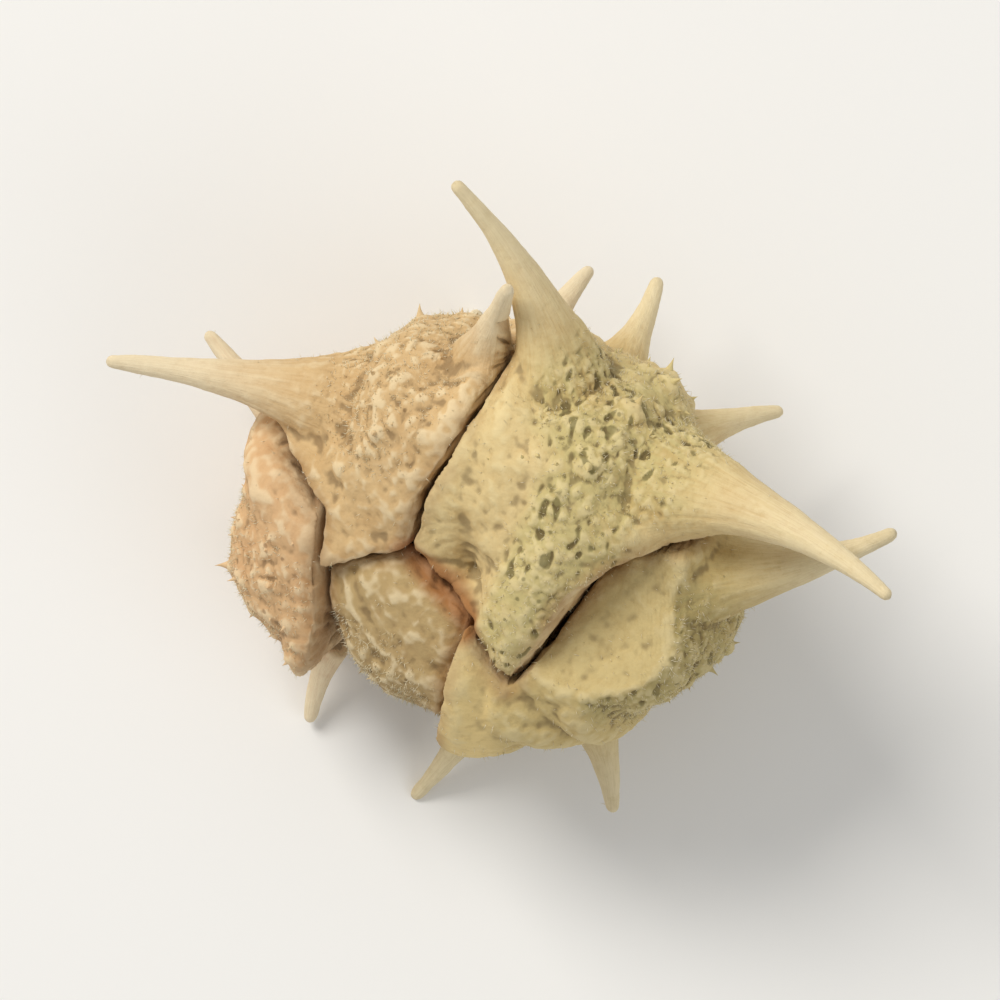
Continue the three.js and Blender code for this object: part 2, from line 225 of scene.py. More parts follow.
def standing():
    a, b, c = (tip_of(*tip) for tip in STANDS_ON)
    down = (b - a).cross(c - a).normalized()
    if down.dot(a) < 0:
        down.negate()
    level = down.rotation_difference(Vector((0, 0, -1)))
    axis = level @ Vector((0, 0, 1))
    swing = Quaternion((0, 0, 1), math.radians(LEAN_TOWARDS) - math.atan2(axis.y, axis.x))
    return (swing @ level).to_matrix() @ Matrix.Rotation(math.radians(FIRST_NUTLET), 3, "Z")


STAND = standing()
lean = math.degrees((STAND @ Vector((0, 0, 1))).angle(Vector((0, 0, 1))))
print("the axis leans by", round(lean, 1), "degrees")

# %% [markdown]
# ## A few habits
#
# Operators act on whatever is selected, so every step starts by deselecting all. A modifier is
# applied as soon as it has done its work, and then the mesh is the whole truth about the piece.


# %% Small helpers
def only(piece):
    """Select one piece and make it the active one."""
    bpy.ops.object.select_all(action="DESELECT")
    piece.select_set(True)
    bpy.context.view_layer.objects.active = piece


def modify(piece, kind, **settings):
    """Add a modifier, set it and apply it."""
    only(piece)
    modifier = piece.modifiers.new(kind.lower(), kind)
    for key, value in settings.items():
        setattr(modifier, key, value)
    bpy.ops.object.modifier_apply(modifier=modifier.name)


def fuse(piece, voxel):
    modify(piece, "REMESH", mode="VOXEL", voxel_size=voxel)


def cut(piece, cutter, operation="DIFFERENCE"):
    """Cut a piece with another one, which is deleted."""
    modify(piece, "BOOLEAN", object=cutter, operation=operation, solver="MANIFOLD")
    bpy.data.objects.remove(cutter)


def copy_of(piece):
    only(piece)
    bpy.ops.object.duplicate()
    return bpy.context.object


def joined(parts):
    """Join pieces into the first of them."""
    only(parts[0])
    for part in parts:
        part.select_set(True)
    if len(parts) > 1:
        bpy.ops.object.join()
    return parts[0]


def places_of(piece):
    places = np.empty(3 * len(piece.data.vertices))
    piece.data.vertices.foreach_get("co", places)
    return places.reshape(-1, 3)


def linked(name, data):
    """A new object in the scene, which has this mesh, lamp or camera."""
    made = bpy.data.objects.new(name, data)
    bpy.context.scene.collection.objects.link(made)
    return made


def move_to(piece, places):
    piece.data.vertices.foreach_set("co", places.ravel())
    piece.data.update()


def normals_of(piece):
    normals = np.empty(3 * len(piece.data.vertices))
    piece.data.vertices.foreach_get("normal", normals)
    return normals.reshape(-1, 3)


def bump(x, width):
    return np.exp(-((x / width) ** 2))


def ramp(x, low, high):
    """0 below low, 1 above high, and smooth between."""
    t = np.clip((x - low) / (high - low), 0, 1)
    return t * t * (3 - 2 * t)


def powered(value, power):
    return np.sign(value) * np.abs(value) ** power


bpy.ops.object.select_all(action="DESELECT")

# %% [markdown]
# ## The lobe
#
# The body of a nutlet is a plump lobe, square in side view like the head of a hatchet. It could be
# sculpted, but one formula for its skin gives the same lobe to the plain model and to this one. It
# has a crest down the middle of the back, a hollow on both sides of it, and a rounded keel beside
# each seam that runs on into the spines. A UV sphere is added and its vertices are laid on that skin.
# One nutlet shrank as it dried: its lobe is flatter and stands askew in its room.

# %% Model the lobe
SHRUNKEN = {"nutlet": 3, "turn": -35, "size": (0.85, 1.12, 0.95)}


def fold(turn, shape):
    """The height of an upright fold of the skin, the same on both sides of the back."""
    return shape["height"] * bump(np.abs(turn) - math.radians(shape["turn"]), math.radians(shape["spread"]))


def lobe_skin(turn, lift):
    """A point on the skin: turn runs round from the back, lift from bottom to top."""
    level = np.maximum(np.cos(lift), 0)
    swell = fold(turn, CREST) * np.cos(lift) + (fold(turn, KEEL) - fold(turn, SADDLE)) * level ** 0.5
    level = level ** SQUARENESS
    taper = np.where(lift < 0, 1 - TAPER * np.sin(lift) ** 2, 1)
    return np.stack([
        LOBE_CENTRE + (LOBE_DEPTH * taper + swell) * level * powered(np.cos(turn), PLAN_SQUARENESS),
        (LOBE_WIDTH * taper + swell) * level * powered(np.sin(turn), PLAN_SQUARENESS),
        np.where(lift > 0, LOBE_RISE, LOBE_DROP) * powered(np.sin(lift), SQUARENESS),
    ], axis=-1)


def plump_lobe(index):
    """Where a nutlet's lobe grew, and how big it was before any of them shrank."""
    return index * WEDGE, np.array([GROWTH[index], GROWTH[index], 1])


def lobe_of(index):
    """Where a nutlet's lobe stands now, and how big it is."""
    if index == SHRUNKEN["nutlet"]:
        return index * WEDGE + SHRUNKEN["turn"], np.array(SHRUNKEN["size"])
    return plump_lobe(index)


def add_lobe(turn, size):
    bpy.ops.mesh.primitive_uv_sphere_add(segments=96, ring_count=44, radius=1)
    lobe = bpy.context.object
    x, y, z = places_of(lobe).T
    skin = lobe_skin(np.arctan2(y, x), np.arcsin(np.clip(z, -1, 1)))
    move_to(lobe, turned(skin * size, turn))
    return lobe


# %% [markdown]
# ## One spine
#
# A spine starts as a disc that is extruded ring by ring. Then each ring is laid on its station along
# a bent line: an upright oval, wide where the root flares into the lobe and slim further out. The
# last few rings close into a small round end.

# %% Model a spine
SPINE_SIDES = 28
SPINE_RINGS = 30
END_RINGS = 4
END_CLOSED = 0.96


def found_at(marks, known, values):
    """Points of a line at some marks along it, found between the known ones."""
    return np.stack([np.interp(marks, known, values[:, axis]) for axis in range(3)], axis=1)


def spine_line(index, spine, usual, count=120):
    """Stations along a spine, evenly spaced, with the direction at each."""
    root = spine.get("root", (math.copysign(usual["turn"], spine["turn"]), usual["reach"]))
    turn, reach, rise = (*root, usual["rise"])[:3]
    start = polar(index * WEDGE + turn, reach, rise)
    end = polar(index * WEDGE + spine["turn"], spine["reach"], spine["rise"])
    sideways = np.cross([0, 0, 1], end - start)
    sideways /= np.linalg.norm(sideways)
    middle = (start + end) / 2 + 2 * spine["bow"] * sideways + np.array([0, 0, usual["sweep"]])
    t = np.linspace(0, 1, count)[:, None]
    line = (1 - t) ** 2 * start + 2 * t * (1 - t) * middle + t ** 2 * end
    length = np.concatenate([[0], np.cumsum(np.linalg.norm(np.diff(line, axis=0), axis=1))])
    line = found_at(np.linspace(0, length[-1], count), length, line)
    forward = np.gradient(line, axis=0)
    return line, forward / np.linalg.norm(forward, axis=1, keepdims=True)


def spine_radii(spine, usual, along):
    """Half the height and half the thickness of a spine, a share of the way along it."""
    slim = 1 - along
    flare = slim ** FLARE_POWER
    girth = spine.get("girth", 1)
    return [SPINE_TIP + girth * (usual["slim"][i] * slim + usual["flare"][i] * flare) for i in (0, 1)]


def across_of(forward):
    """Two directions across a spine: level, and upright."""
    across = np.cross([0, 0, 1], forward)
    across /= np.linalg.norm(across, axis=1, keepdims=True)
    return across, np.cross(forward, across)


def extrude(step, count=1):
    """Extrude the flat active piece upwards, step by step, into a closed body."""
    bpy.ops.object.mode_set(mode="EDIT")
    bpy.ops.mesh.select_all(action="SELECT")
    for _ in range(count):
        bpy.ops.mesh.extrude_region_move(TRANSFORM_OT_translate={"value": (0, 0, step)})
    bpy.ops.mesh.select_all(action="SELECT")
    bpy.ops.mesh.normals_make_consistent(inside=False)
    bpy.ops.object.mode_set(mode="OBJECT")


def add_spine(index, spine, usual):
    bpy.ops.mesh.primitive_circle_add(vertices=SPINE_SIDES, radius=1, fill_type="NGON")
    made = bpy.context.object
    extrude(1, SPINE_RINGS + END_RINGS)
    line, forward = spine_line(index, spine, usual)
    places = places_of(made)
    angle = np.arctan2(places[:, 1], places[:, 0])
    ring = np.round(places[:, 2])
    along = np.minimum(ring / SPINE_RINGS, 1)
    ending = np.maximum(ring - SPINE_RINGS, 0) / END_RINGS * (math.pi / 2) * END_CLOSED
    steps = np.arange(len(line))
    centre, ahead = (found_at(along * steps[-1], steps, values) for values in (line, forward))
    across, upward = across_of(ahead)
    tall, thick = spine_radii(spine, usual, along)
    centre += ahead * (SPINE_TIP * np.sin(ending))[:, None]
    places = centre + across * (thick * np.cos(ending) * np.cos(angle))[:, None]
    places += upward * (tall * np.cos(ending) * np.sin(angle))[:, None]
    move_to(made, places)
    return made


def spines_of(index):
    """Each spine of a nutlet, with what is usual for its kind."""
    kinds = ((LONG_SPINES, LONG_ROOT), (SHORT_SPINES, SHORT_ROOT))
    return [(spine, usual) for spines, usual in kinds for spine in spines[index]]


# %% [markdown]
# ## Hollows, swellings and rooms
#
# A burr dries unevenly: nutlet_5 has a smooth hollow like a thumb print in dough, and the crest of
# nutlet_1 and a keel of nutlet_5 are swollen. Each of these is an oval, which is a sphere scaled to
# size. The room of a nutlet is its outline extruded upwards. A cylinder with that room taken out of
# it stands for the neighbours. It ends a little outside the lobes, so that the spines beyond are
# free to cross the seam.

# %% Model the ovals, the rooms and the pit
HOLLOWS = [[], [], [], [], [{"place": (2.6, -1.8, 2.85), "radii": (3.2, 2.9, 1.7), "turn": -60}]]
SWELLINGS = [
    [{"place": (0.93, -1.0, 1.4), "radii": (2.5, 1.05, 1.2), "turn": 20}],
    [],
    [],
    [],
    [{"place": (-1.3, -1.15, 1.4), "radii": (1.9, 0.75, 1.3), "turn": 34}],
]
COLUMN = 4 * SEAM_REACH
OVERSHOOT = 1


def add_oval(oval):
    bpy.ops.mesh.primitive_uv_sphere_add(
        segments=64, ring_count=40, location=oval["place"], scale=oval["radii"],
        rotation=(0, 0, math.radians(oval["turn"])))
    bpy.ops.object.transform_apply(location=True, rotation=True, scale=True)
    return bpy.context.object


def off_oval(oval, places):
    """1 on the skin of an oval, less inside it and more outside."""
    return np.linalg.norm(turned(places - oval["place"], -oval["turn"]) / oval["radii"], axis=1)


def add_room(index):
    corners = outline_of(index)
    bpy.ops.mesh.primitive_circle_add(vertices=len(corners), radius=1, fill_type="NGON")
    room = bpy.context.object
    move_to(room, np.column_stack([corners, np.full(len(corners), -COLUMN / 2)]))
    extrude(COLUMN)
    return room


def add_neighbours(index):
    bpy.ops.mesh.primitive_cylinder_add(vertices=128, radius=SEAM_REACH, depth=COLUMN - OVERSHOOT)
    neighbours = bpy.context.object
    cut(neighbours, add_room(index))
    return neighbours


def add_pit():
    x, y, _ = polar(AXIS_PIT["turn"], AXIS_PIT["reach"])
    bpy.ops.mesh.primitive_cylinder_add(
        vertices=32, radius=1, depth=COLUMN, location=(x, y, 0), scale=(*AXIS_PIT["radii"], 1),
        rotation=(0, 0, math.radians(AXIS_PIT["slant"])))
    bpy.ops.object.transform_apply(location=True, rotation=True, scale=True)
    return bpy.context.object


# %% [markdown]
# ## Grow the parts together
#
# The flesh of the fruit is five lobes grown into each other: they are joined and voxel remeshed,
# which fuses them into one skin. Each nutlet takes what lies in its room, its spines are fused to it
# the same way, and what would reach into the neighbours is cut off. A last, finer remesh evens the
# skin out. Then a smooth that leaves the spine tips alone rounds the joins, and a much stronger one
# rounds the lips of the seams and the rims of the hollows, which are soft on a fruit that shrank.
# Both also round off the small step where a spine passes the outer end of its seam.

# %% Fuse one nutlet
FIRST_VOXEL = 0.065
FINE_VOXEL = 0.041
SMOOTHING = 8
LIP_SMOOTHING = 110
TIP_KEPT = 0.93
OUTER_SPINE = {"along": (0.35, 0.7), "off": 1.6}
LIP_DEPTH = (0.12, 0.4)
HOLLOW_RIM = (1.1, 1.3)
SEAM_END = {"reach": 0.3, "depth": 0.4, "share": 0.35}

flesh = joined([add_lobe(*plump_lobe(index)) for index in range(NUTLETS)])
fuse(flesh, FIRST_VOXEL)
print("flesh:", len(flesh.data.polygons), "faces")


def towards_tips(index, places):
    """How far along its nearest spine each place is, the distance off its line, and its turn."""
    best = {"off": np.full(len(places), 1e9)}
    for which, (spine, usual) in enumerate(spines_of(index)):
        line, forward = spine_line(index, spine, usual, count=60)
        nearest = ((line ** 2).sum(axis=1) - 2 * places @ line.T).argmin(axis=1)
        along = nearest / (len(line) - 1)
        tall, thick = spine_radii(spine, usual, along)
        across, upward = across_of(forward[nearest])
        a = ((places - line[nearest]) * across).sum(axis=1)
        b = ((places - line[nearest]) * upward).sum(axis=1)
        found = {"off": np.hypot(a / thick, b / tall), "along": along, "turn": np.arctan2(b, a),
                 "which": np.full(len(places), float(which))}
        closer = found["off"] < best["off"]
        best = {key: np.where(closer, found[key], best.get(key, 0)) for key in found}
    return best


def soften(piece, weights, rounds):
    """Smooth a piece, each vertex by its own weight."""
    soft = piece.vertex_groups.new(name="soft")
    for number, weight in enumerate(weights):
        soft.add([number], weight, "REPLACE")
    modify(piece, "SMOOTH", factor=0.5, iterations=rounds, vertex_group="soft")
    piece.vertex_groups.clear()


def add_nutlet(index):
    lobe = add_lobe(*lobe_of(index)) if index == SHRUNKEN["nutlet"] else copy_of(flesh)
    nutlet = joined([lobe] + [add_oval(oval) for oval in SWELLINGS[index]])
    fuse(nutlet, FIRST_VOXEL)
    cut(nutlet, add_room(index), "INTERSECT")
    nutlet = joined([nutlet] + [add_spine(index, *spine) for spine in spines_of(index)])
    nutlet.name = f"nutlet_{index + 1}_fine"
    fuse(nutlet, FIRST_VOXEL)
    cut(nutlet, add_neighbours(index))
    for oval in HOLLOWS[index]:
        cut(nutlet, add_oval(oval))
    cut(nutlet, add_pit())
    fuse(nutlet, FINE_VOXEL)
    places = places_of(nutlet)
    nearest = towards_tips(index, places)
    outer = ramp(nearest["along"], *OUTER_SPINE["along"]) * (nearest["off"] < OUTER_SPINE["off"])
    depth, reach = seam_of(index, places)[0], reach_of(places)
    lips = (1 - ramp(depth, *LIP_DEPTH)) * (reach < SEAM_REACH)
    for oval in HOLLOWS[index]:
        lips = np.maximum(lips, 1 - ramp(off_oval(oval, places), *HOLLOW_RIM))
    seam_end = bump(reach - SEAM_REACH, SEAM_END["reach"]) * bump(depth, SEAM_END["depth"])
    soften(nutlet, np.maximum(1 - TIP_KEPT * outer, seam_end), SMOOTHING)
    soften(nutlet, np.maximum(lips * (1 - outer), SEAM_END["share"] * seam_end), LIP_SMOOTHING)
    return nutlet


# %% [markdown]
# ## Where on the fruit a point is
#
# Wrinkles and colours follow the parts of the fruit: the warty backs, the pleated walls, the fibrous
# spines, the seams, painted brown as painted shade, and the crumpled crack in the middle. So each
# vertex is asked how far it is from all of these. Each region fades over a stretch, and one table
# holds the two ends of every stretch. The answers are kept as attributes of the mesh, which the
# materials read.

# %% Read the regions
BAND = {"nutlet": 0, "from": (2.9, -0.6), "to": (-0.83, -1.96), "half": 0.62, "fade": 0.5}
CRACK = {"from": tuple(polar(*ONE_TWO[0])[:2]), "to": tuple(polar(*FOUR_FIVE[0])[:2]),
         "half": 0.12, "fade": 0.3}
RIDGE = {"nutlet": 4, "oval": SWELLINGS[4][0]}
FADES = {
    "seam end": (SEAM_REACH - 0.6, SEAM_REACH), "facing": (0.6, 0.9), "wall": (0.05, 0.16),
    "scooped": (1.0, 1.06), "spine": (0.22, 0.45), "beside spine": (1.3, 1.8), "root": (0.02, 0.22),
    "beside root": (1.1, 2.0), "seam": (0.06, 0.42), "sides": (math.radians(36), math.radians(52)),
    "back": (1.7, 2.6), "outer back": (3.0, 3.6), "above": (-2, 0), "ridge": (1.05, 1.4),
    "crack": (0.2, 1.2),
}
FAN = {"reach": 3.6, "rise": 0.1, "round": 5, "out": 0.55, "apart": 4}
SIDES_BLEND = {"sharp": 1.5, "apart": 1.2}
ALONG_SPINE = {"round": 3.2, "out": 3, "apart": 9}


def rising(values, fade):
    """From 0 to 1 over the named stretch."""
    return ramp(values, *FADES[fade])


def falling(values, fade):
    """From 1 to 0 over the named stretch."""
    return 1 - ramp(values, *FADES[fade])


def near_stroke(stroke, places):
    """1 on a straight stroke seen from above, fading to 0 beside it."""
    start, side = np.array(stroke["from"]), np.subtract(stroke["to"], stroke["from"])
    share = np.clip((places[:, :2] - start) @ side / (side @ side), 0, 1)
    gap = np.linalg.norm(places[:, :2] - start - share[:, None] * side, axis=1)
    return 1 - ramp(gap, stroke["half"], stroke["half"] + stroke["fade"])


def regions_of(index, places, normals):
    """The share of each region at each place, and the directions that pleats and fibres follow."""
    depth, _, outward = seam_of(index, places)
    reach = reach_of(places)
    bounded = falling(reach, "seam end")
    facing = rising((normals[:, :2] * outward).sum(axis=1), "facing")
    wall = facing * falling(depth, "wall") * bounded
    scooped = np.zeros(len(places))
    for oval in HOLLOWS[index]:
        scooped = np.maximum(scooped, falling(off_oval(oval, places), "scooped"))
    nearest = towards_tips(index, places)
    along, off, turn = nearest["along"], nearest["off"], nearest["turn"]
    spine = rising(along, "spine") * falling(off, "beside spine")
    root = rising(along, "root") * falling(off, "beside root")
    seam = falling(depth, "seam") * bounded * (1 - spine)
    stands, size = lobe_of(index)
    x, y, z = (turned(places, -stands) / size).T
    about = np.arctan2(y / LOBE_WIDTH, (x - LOBE_CENTRE) / LOBE_DEPTH)
    band = falling(np.abs(about), "sides") * rising(x, "back")
    if index == BAND["nutlet"]:
        band = np.maximum(band * rising(x, "outer back"), near_stroke(BAND, places)) * rising(z, "above")
    back = band * (1 - spine) * (1 - wall) * (1 - scooped)
    ridge = np.zeros(len(places))
    if index == RIDGE["nutlet"]:
        ridge = falling(off_oval(RIDGE["oval"], places), "ridge") * (1 - wall)
    outwards, upwards = FAN["reach"] - reach, z - FAN["rise"]
    fan = np.arctan2(upwards, outwards) * FAN["round"]
    spread = np.hypot(upwards, outwards) * FAN["out"]
    on_wall = np.stack([fan, spread, np.sign(y) * FAN["apart"]], axis=1)
    on_spine = np.stack([np.cos(turn) * ALONG_SPINE["round"], np.sin(turn) * ALONG_SPINE["round"],
                         along * ALONG_SPINE["out"] + ALONG_SPINE["apart"] * nearest["which"]], axis=1)
    drawn = np.stack([fan, spread, np.tanh(SIDES_BLEND["sharp"] * y) * SIDES_BLEND["apart"]], axis=1)
    near_spine = np.maximum(spine, root)[:, None]
    return {"wall": wall, "spine": spine, "root": root, "back": back, "scooped": scooped, "seam": seam,
            "ridge": ridge, "crack": near_stroke(CRACK, places) * rising(places[:, 2], "crack"),
            "along": along, "on_wall": on_wall, "on_spine": on_spine,
            "fibre": drawn * (1 - near_spine) + on_spine * near_spine}


# %% [markdown]
# ## Thorns and warts
#
# The back of a nutlet is armed with small hard points: a row of teeth along the crest and warts to
# both sides of it, each ending in a short thorn. Their places come from the same seeded draw as in
# the plain model, so the big ones are where its solids have them. Each kind has its range of lifts
# and of sizes, and how far its lift and turn may stray. Smaller thorns are strewn between.

# %% Where the thorns stand
TEETH = {"count": 7, "from": -52, "span": 118, "least": 0.8, "more": 0.4, "lift": 0.05, "turn": 0.06}
WARTS = {"count": 5, "from": -48, "span": 104, "least": 0.7, "more": 0.5, "lift": 0.5, "turn": 0.09}
WART_ROWS = [-38, -25, -12, 12, 25, 38]
ORNAMENTS = [1, 0.9, 1, 0.5, 0.75]


class Draw:
    """The seeded draw of the plain model, with the draws that only the plain model uses."""
    state = 20
    factor = 16807
    modulus = 2147483647
    unused = 4

    def next(self):
        self.state = self.state * self.factor % self.modulus
        return self.state / self.modulus

    def jitter(self, amount):
        return (self.next() * 2 - 1) * amount

    def skip_unused(self):
        for _ in range(self.unused):
            self.next()


draw = Draw()


def ornaments():
    """The teeth and warts of one nutlet: turn, lift, size and whether it is a tooth."""
    found = []
    for tooth in range(TEETH["count"]):
        lift = math.radians(TEETH["from"] + TEETH["span"] * tooth / (TEETH["count"] - 1))
        lift += draw.jitter(TEETH["lift"])
        size = TEETH["least"] + TEETH["more"] * draw.next()
        found.append((draw.jitter(TEETH["turn"]), lift, size, True))
        draw.skip_unused()
    for row in WART_ROWS:
        for wart in range(WARTS["count"]):
            place = wart + WARTS["lift"] * draw.next()
            lift = math.radians(WARTS["from"] + WARTS["span"] * place / (WARTS["count"] - 1))
            size = WARTS["least"] + WARTS["more"] * draw.next()
            found.append((math.radians(row) + draw.jitter(WARTS["turn"]), lift, size, False))
            draw.skip_unused()
    return found


def stands_of(index, found):
    """Places, sizes and kinds of the ornaments on the lobe's skin, none in a hollow."""
    turn, lift, size, tooth = (np.array(column, dtype=float) for column in zip(*found))
    stands, growth = lobe_of(index)
    feet = turned(lobe_skin(turn, lift) * growth, stands)
    free = np.ones(len(feet), dtype=bool)
    for oval in HOLLOWS[index]:
        free &= off_oval(oval, feet) > 1
    return feet[free], ORNAMENTS[index] * size[free], tooth[free]


# %% [markdown]
# ## Wrinkle the skin
#
# A dried fruit has shrunk on its fibres, so nothing on it is even. Each vertex is moved along its
# normal by a sum of reliefs: slow lumps, a mound under each thorn, granules and sunken dark flecks
# on the back, pleats that fan out over the walls, fibres that run into the spines, and a fine grain
# over all of it. Most are noises, each given by its scale and its height. Sculpting by hand gives
# the same, but formulas repeat exactly. At last nothing may bulge over its seam.

# %% Wrinkle one nutlet
PLEATING = [0.15, 0.2, 0.25, 0.8, 0.3]
FLECKS = [1, 0.45, 0.35, 0.2, 0.7]
GRANULATION = [1, 0.5, 0.6, 0.5, 0.9]
LUMPS = [(0.8, 0.1), (1.9, 0.06)]
FINE_GRAIN = [(3.8, 0.03), (8, 0.018)]
GRANULES = [(3.4, 0.026), (6.3, 0.022)]
SPINE_FIBRES = [(1.4, 0.016)]
PLEATS = [(1.5, 0.09)]
CRUMPLES = [(2.6, 0.12)]
CALM = {"spine": 0.8, "scooped": 0.3, "ridge": 0.6}
CELL_BORDER = 0.45
ROUGH_PATCHES = {"scale": 1.1, "ramp": (-0.4, 0.2)}
FIBRE_END = {"share": 0.8, "ramp": (0.35, 0.8)}
FLECK = {"scales": (3.8, 7.2, 5), "ramp": (0.12, 0.44), "depth": 0.028}
FLECK_PATCHES = {"scale": 1.3, "ramp": (-0.35, 0.05)}
MOUND_WIDTH = (0.17, 0.05)
MOUND_HEIGHT = (0.07, 0.06)
SMOOTH_WALL = 0.3
SEAM_CLEARANCE = 0.003
SEED_STEP = 11.3
SEED_SHIFT = (1, 1.7, 2.3)


def noise_of(points, seed):
    shift = Vector([seed * share for share in SEED_SHIFT])
    return np.array([noise.noise(Vector(point) + shift) for point in points])


def noises(points, seed, reliefs):
    """A sum of noises, each with its scale and its height."""
    return sum(noise_of(points * scale, seed) * height for scale, height in reliefs)


def patches(places, seed, kind):
    """Slow patches that something is limited to."""
    return ramp(noise_of(places * kind["scale"], seed), *kind["ramp"])


def flecks_of(places, seed):
    """Short dark flecks that lie along the band over the middle."""
    ahead = np.subtract(BAND["to"], BAND["from"])
    ahead = ahead / np.linalg.norm(ahead)
    along = places[:, :2] @ ahead
    across = places[:, :2] @ np.array([-ahead[1], ahead[0]])
    drawn_out = np.stack([along, across, places[:, 2]], axis=1) * FLECK["scales"]
    return ramp(noise_of(drawn_out, seed + 3), *FLECK["ramp"]) * patches(places, seed + 4, FLECK_PATCHES)


def granules_of(points):
    """High in the middle of random cells and low on the borders between them."""
    near = np.array([noise.voronoi(Vector(point))[0][:2] for point in points])
    return ramp(near[:, 1] - near[:, 0], 0, CELL_BORDER)


def tree_of(places):
    """A search tree, which finds the nearest of these places."""
    tree = KDTree(len(places))
    for number, place in enumerate(places):
        tree.insert(place, number)
    tree.balance()
    return tree


def sized(measure, tooth, size):
    """What a wart measures, and how much more a tooth does, times its size."""
    wart, more = measure
    return (wart + more * tooth) * size


def mounds_of(places, stands):
    """A mound under each tooth and wart."""
    feet, size, tooth = stands
    tree = tree_of(feet)
    nearest, gap = (np.array(found) for found in zip(*(tree.find(place)[1:] for place in places)))
    tooth, size = tooth[nearest], size[nearest]
    return sized(MOUND_HEIGHT, tooth, size) * bump(gap, sized(MOUND_WIDTH, tooth, size))


def relief(index, places, where, stands):
    seed = SEED_STEP * (index + 1)
    plain = math.prod(1 - share * where[name] for name, share in CALM.items())
    lumps = noises(places, seed, LUMPS) * plain
    grain = noises(places, seed, FINE_GRAIN) * plain
    rough = where["back"] * patches(places, seed + 5, ROUGH_PATCHES)
    granules = sum(granules_of(places * scale + seed) * height for scale, height in GRANULES) * rough
    granules *= GRANULATION[index]
    where["fleck"] = flecks_of(places, seed) * where["back"] * FLECKS[index]
    fibres = noises(where["on_spine"], seed, SPINE_FIBRES) * np.maximum(where["root"], where["spine"])
    fibres *= 1 - FIBRE_END["share"] * ramp(where["along"], *FIBRE_END["ramp"])
    folded = np.maximum(where["wall"], PLEATING[index] * (1 - where["spine"]) * (1 - where["scooped"]))
    pleats = -np.abs(noises(where["on_wall"], seed, PLEATS)) * folded
    crumple = noises(places, seed + 2, CRUMPLES) * where["crack"]
    mounds = mounds_of(places, stands) * (1 - where["spine"])
    height = lumps + grain + granules + fibres + pleats + crumple + mounds - FLECK["depth"] * where["fleck"]
    return np.where(where["wall"] > SMOOTH_WALL, np.minimum(height, 0), height)


def keep_off_seams(index, places):
    """Nothing bulges over the seams, as far out as the neighbours reach."""
    depth, nearest, outward = seam_of(index, places)
    over = (depth < SEAM_CLEARANCE) & (reach_of(places) < SEAM_REACH)
    places[over, :2] = nearest[over] - SEAM_CLEARANCE * outward[over]
    return places


# %% [markdown]
# ## Find the hollows
#
# The creases are painted darker, as painted shade, and the ridges paler, as a painted highlight. To
# find both, the mesh is compared with a smoothed copy of itself: where the copy lies above the skin
# there is a hollow.

# %% Measure how hollow each vertex lies
def hollow_of(piece, places, normals, rounds=14):
    edges = np.empty(2 * len(piece.data.edges), dtype=int)
    piece.data.edges.foreach_get("vertices", edges)
    a, b = edges.reshape(-1, 2).T
    count = len(places)
    degree = np.maximum(np.bincount(a, minlength=count) + np.bincount(b, minlength=count), 1)
    smooth = places.copy()
    for _ in range(rounds):
        around = np.stack([
            np.bincount(a, smooth[b, axis], count) + np.bincount(b, smooth[a, axis], count)
            for axis in range(3)
        ], axis=1)
        smooth = around / degree[:, None]
    return ((smooth - places) * normals).sum(axis=1)


def keep_value(piece, name, values):
    """Store one number, or one vector, for each vertex."""
    values = np.asarray(values, dtype=np.float32)
    if values.ndim == 1:
        piece.data.attributes.new(name, "FLOAT", "POINT").data.foreach_set("value", values)
    else:
        piece.data.attributes.new(name, "FLOAT_VECTOR", "POINT").data.foreach_set("vector", values.ravel())


# %% [markdown]
# ## Five nutlets
#
# The five are made by one loop, because they are the same kind of thing in five different rooms.
# What is known of each vertex is kept: some of it on the mesh for the materials, and all of it for
# the thorns and the hairs.

# %% Make the five nutlets
KEPT = ["wall", "spine", "root", "back", "scooped", "seam", "ridge", "crack", "fleck", "along", "hollow"]
nutlets = []
grown = []
for index in range(NUTLETS):
    nutlet = add_nutlet(index)
    places, normals = places_of(nutlet), normals_of(nutlet)
    where = regions_of(index, places, normals)
    stands = stands_of(index, ornaments())
    places += normals * relief(index, places, where, stands)[:, None]
    move_to(nutlet, keep_off_seams(index, places))
    places, normals = places_of(nutlet), normals_of(nutlet)
    where["hollow"] = hollow_of(nutlet, places, normals)
    for name in KEPT + ["fibre"]:
        keep_value(nutlet, name, where[name])
    only(nutlet)
    bpy.ops.object.shade_smooth()
    nutlets.append(nutlet)
    grown.append({"places": places, "normals": normals, "where": where, "stands": stands})
    shallow, deep = np.percentile(where["hollow"], [2, 98])
    print(nutlet.name, len(nutlet.data.polygons), "faces, hollow", round(shallow, 4), "to", round(deep, 4))
bpy.data.objects.remove(flesh)

# %% [markdown]
# ## Set the thorns
#
# One thorn is modelled: a slim cone with a bent, pointed end. Its copies are turned along the skin's
# normal, sunk a little way in, and joined to the nutlet that they grew from.

# %% Model a thorn and plant it
THORN_SIDES = 9
THORN_RINGS = 5
THORN_WAIST = 0.55
THORN_BEND = 0.5
THORN_RADIUS = (0.07, 0.03)
THORN_HEIGHT = (0.14, 0.12)
THORN_SUNK = 0.05
THORN_HOLLOW = -0.012
SMALL_THORNS = 45
SMALL_RADIUS = (0.03, 0.05)
SMALL_HEIGHT = (0.06, 0.13)
BARE_SPINE = 0.35
OFF_BACK = 0.15
SPIN_TILT = 0.3
SEED = 7


def add_cone(sides):
    """A cone one high and one in radius, with its foot at the origin."""
    bpy.ops.mesh.primitive_cone_add(vertices=sides, radius1=1, radius2=0, depth=1, location=(0, 0, 0.5))
    bpy.ops.object.transform_apply(location=True)
    return bpy.context.object


